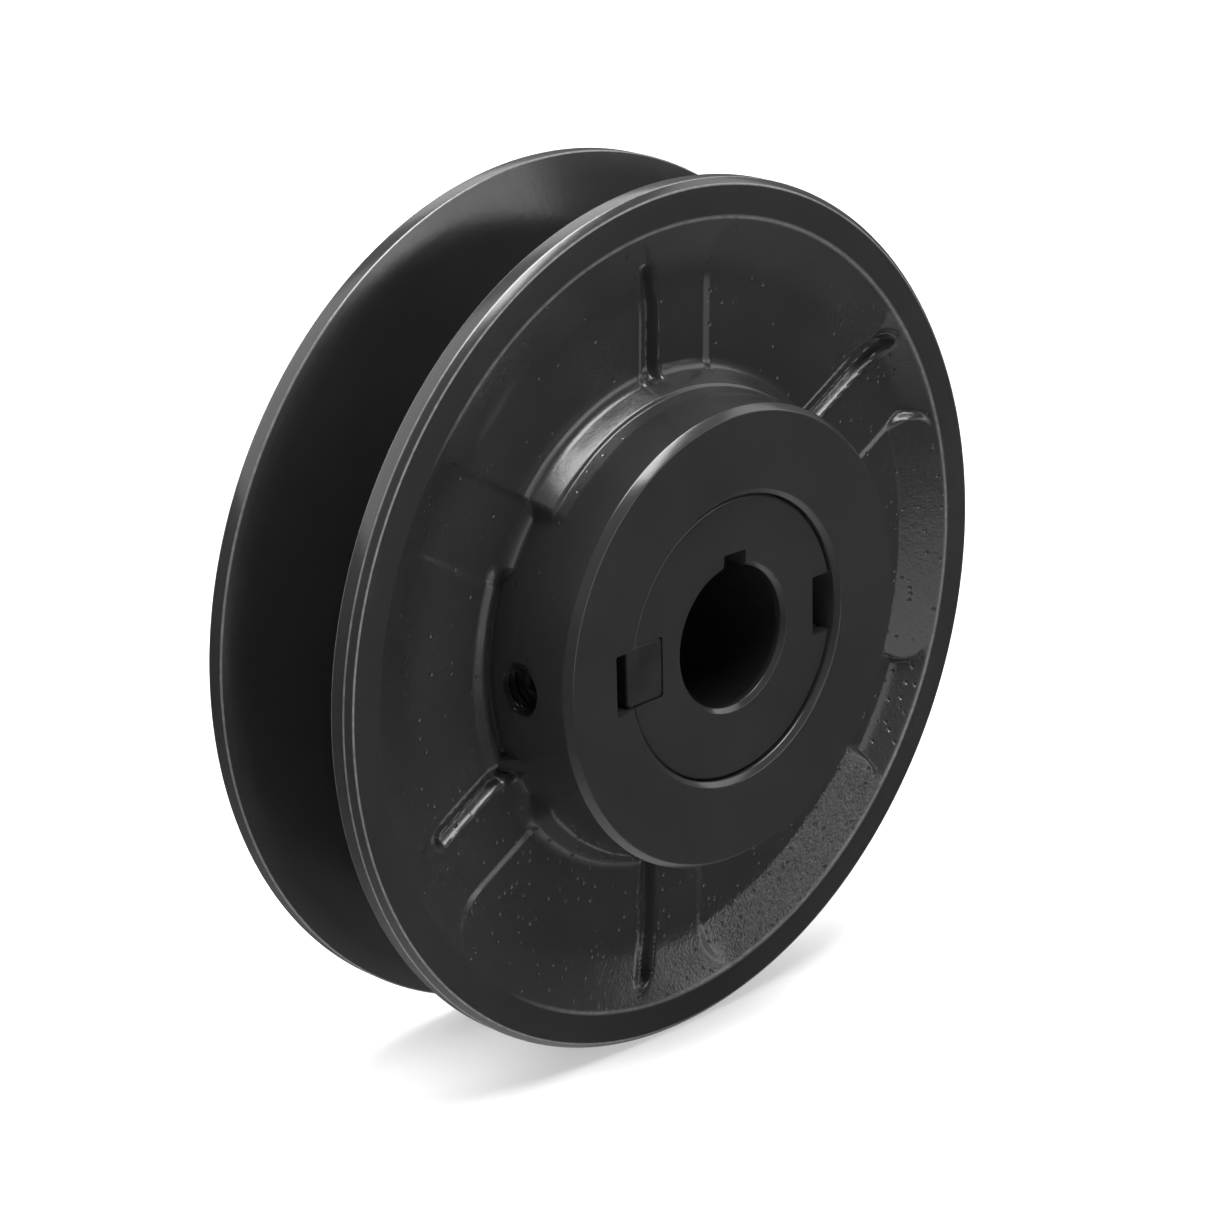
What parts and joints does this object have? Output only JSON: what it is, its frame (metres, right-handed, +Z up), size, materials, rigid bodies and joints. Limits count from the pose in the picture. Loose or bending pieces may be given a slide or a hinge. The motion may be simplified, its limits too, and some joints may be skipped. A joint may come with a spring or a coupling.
{
  "type": "adjustable v-belt pulley",
  "caption": "Single-groove variable-pitch V-belt pulley: keyed fixed flange with a threaded barrel, adjustable flange with a hub, locking key and setscrews.",
  "frame": {"origin": "on the shaft axis, in the middle plane of the belt groove", "axes": "+Y along the shaft axis from the outboard end to the inboard end, +Z up through the bore's keyway"},
  "size_m": [0.136, 0.05, 0.136],
  "materials": {
    "painted_iron": "satin black enamel over cast iron",
    "dark_steel": "black oxide"
  },
  "bodies": {
    "fixed_half": {"fixed_flange_and_barrel": "painted_iron"},
    "adjustable_half": {"adjustable_flange": "painted_iron"},
    "key": {"locking_key": "dark_steel"},
    "hub_screw": {"locking_setscrew": "dark_steel"},
    "bore_screw": {"shaft_setscrew": "dark_steel"}
  },
  "joints": [
    {"name": "groove_width", "type": "slide", "parent": "fixed_half", "child": "adjustable_half", "axis": [0, -1, 0], "range_m": [-0.00635, 0.00317]},
    {"name": "key_withdrawal", "type": "slide", "parent": "fixed_half", "child": "key", "axis": [0, -1, 0], "range_m": [0, 0.03]},
    {"name": "locking_setscrew_travel", "type": "slide", "parent": "adjustable_half", "child": "hub_screw", "axis": [-0.9994, 0, -0.0349], "range_m": [0, 0.0135]},
    {"name": "shaft_setscrew_travel", "type": "slide", "parent": "fixed_half", "child": "bore_screw", "axis": [0, 0, 1], "range_m": [-0.0035, 0.0145]}
  ]
}
